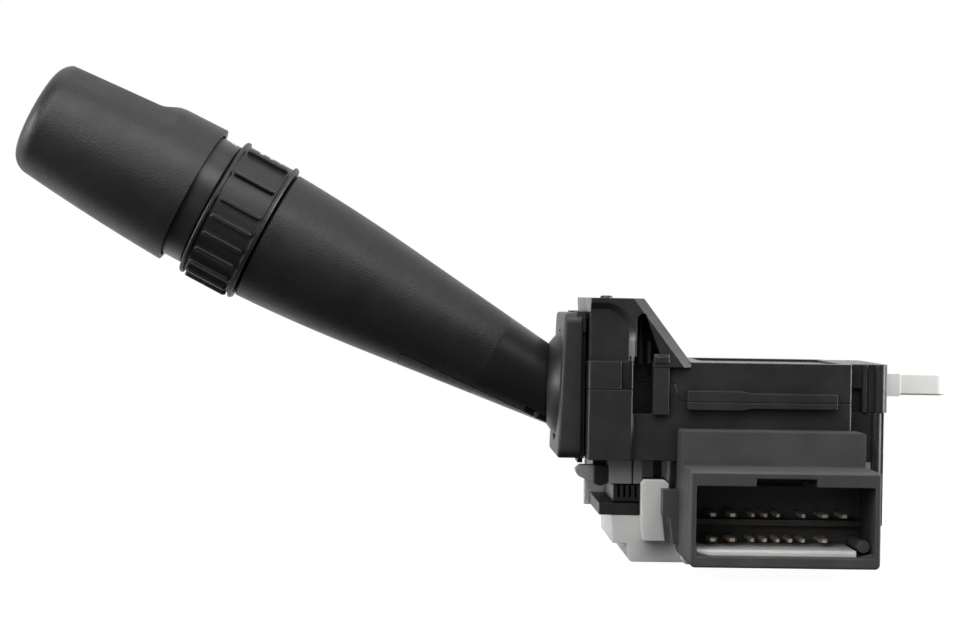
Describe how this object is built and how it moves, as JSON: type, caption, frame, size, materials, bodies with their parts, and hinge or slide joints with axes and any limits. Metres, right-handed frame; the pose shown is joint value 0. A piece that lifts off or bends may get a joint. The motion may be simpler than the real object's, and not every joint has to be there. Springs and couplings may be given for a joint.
{
  "type": "combination stalk switch",
  "caption": "Steering-column stalk switch: a tapered lever with a ribbed rotary ring and a turning end knob, pivoted in a housing with a keyed plug socket and a self-cancelling finger.",
  "frame": {"origin": "the point that the lever pivots about, the centre of its ball shield, in the opening of the column cover", "axes": "+X into the column cover, the way the housing is pushed in; +Z along the steering column towards the driver; the plug enters from -Y"},
  "size_m": [0.1933, 0.072, 0.0991],
  "materials": {
    "lever_plastic": "fine-grained satin black moulding",
    "knob_plastic": "fine-grained satin black moulding",
    "ring_plastic": "fine-grained satin black moulding",
    "collar_plastic": "smooth satin black moulding",
    "housing_plastic": "semi-gloss black glass-filled plastic",
    "connector_plastic": "dark grey glass-filled plastic",
    "nylon": "milky natural nylon",
    "white_acetal": "smooth white acetal",
    "grey_acetal": "smooth grey acetal",
    "black_acetal": "smooth black acetal",
    "steel": "plain turned steel",
    "spring_steel": "drawn spring wire",
    "tinned_brass": "tin-plated brass",
    "phenolic": "phenolic plate with brass tracks"
  },
  "bodies": {
    "housing": {"bezel_plate": "housing_plastic", "upper_case": "housing_plastic", "lower_case": "housing_plastic", "detent_cam": "white_acetal", "turn_pivot_pin": "steel", "cancel_pivot_pin": "steel", "cancel_spring": "spring_steel", "contact_plate": "phenolic", "contact_base": "nylon", "connector_shell": "connector_plastic", "terminal_retainer": "nylon", "wide_blades": "tinned_brass", "narrow_blades": "tinned_brass"},
    "yoke": {"turn_yoke": "black_acetal", "dip_pivot_pin": "steel"},
    "lever": {"lever_shell": "lever_plastic", "lever_lower_cover": "lever_plastic", "ball_shield": "lever_plastic", "lever_arm": "black_acetal", "collar_tube": "collar_plastic", "light_contact_plate": "phenolic", "knob_detent_leaf": "spring_steel", "detent_spring": "spring_steel"},
    "ring": {"rotary_ring": "ring_plastic", "ring_drive_sleeve": "black_acetal"},
    "knob": {"end_knob": "knob_plastic", "knob_shaft": "black_acetal", "light_contact_rotor": "white_acetal", "knob_detent_wheel": "white_acetal"},
    "plunger": {"detent_plunger": "white_acetal"},
    "cancel": {"cancel_finger": "white_acetal"},
    "dimmer_slide": {"dimmer_carriage": "grey_acetal"},
    "turn_slide": {"turn_carriage": "black_acetal"}
  },
  "joints": [
    {"name": "turn_signal", "type": "hinge", "parent": "housing", "child": "yoke", "pos_m": [0, 0, 0], "axis": [0, 0, 1], "range_deg": [-12, 12]},
    {"name": "dip_and_flash", "type": "hinge", "parent": "yoke", "child": "lever", "pos_m": [0, 0, 0], "axis": [0, 1, 0], "range_deg": [-6, 7]},
    {"name": "ring_turn", "type": "hinge", "parent": "lever", "child": "ring", "pos_m": [-0.0763, 0, 0.03302], "axis": [-0.8878, 0, 0.4602], "range_deg": [0, 40]},
    {"name": "knob_turn", "type": "hinge", "parent": "lever", "child": "knob", "pos_m": [-0.10027, 0, 0.04544], "axis": [-0.8878, 0, 0.4602], "range_deg": [0, 60]},
    {"name": "plunger_slide", "type": "slide", "parent": "lever", "child": "plunger", "axis": [1, 0, 0], "range_m": [-0.0015, 0], "stiffness_N_per_m": 300, "springref_m": 0.003, "deforming": ["detent_spring"]},
    {"name": "cancel_swing", "type": "hinge", "parent": "housing", "child": "cancel", "pos_m": [0.047, 0, 0.001], "axis": [0, 0, 1], "range_deg": [-14, 14], "stiffness_Nm_per_rad": 0.05, "deforming": ["cancel_spring"]},
    {"name": "dimmer_travel", "type": "slide", "parent": "housing", "child": "dimmer_slide", "axis": [1, 0, 0], "range_m": [-0.0021, 0.0018]},
    {"name": "turn_travel", "type": "slide", "parent": "housing", "child": "turn_slide", "axis": [0, 1, 0], "range_m": [-0.0024, 0.0024]}
  ],
  "couplings": [
    {"joint": "dimmer_travel", "follows": "dip_and_flash", "m_per_rad": -0.017},
    {"joint": "turn_travel", "follows": "turn_signal", "m_per_rad": 0.0112}
  ]
}
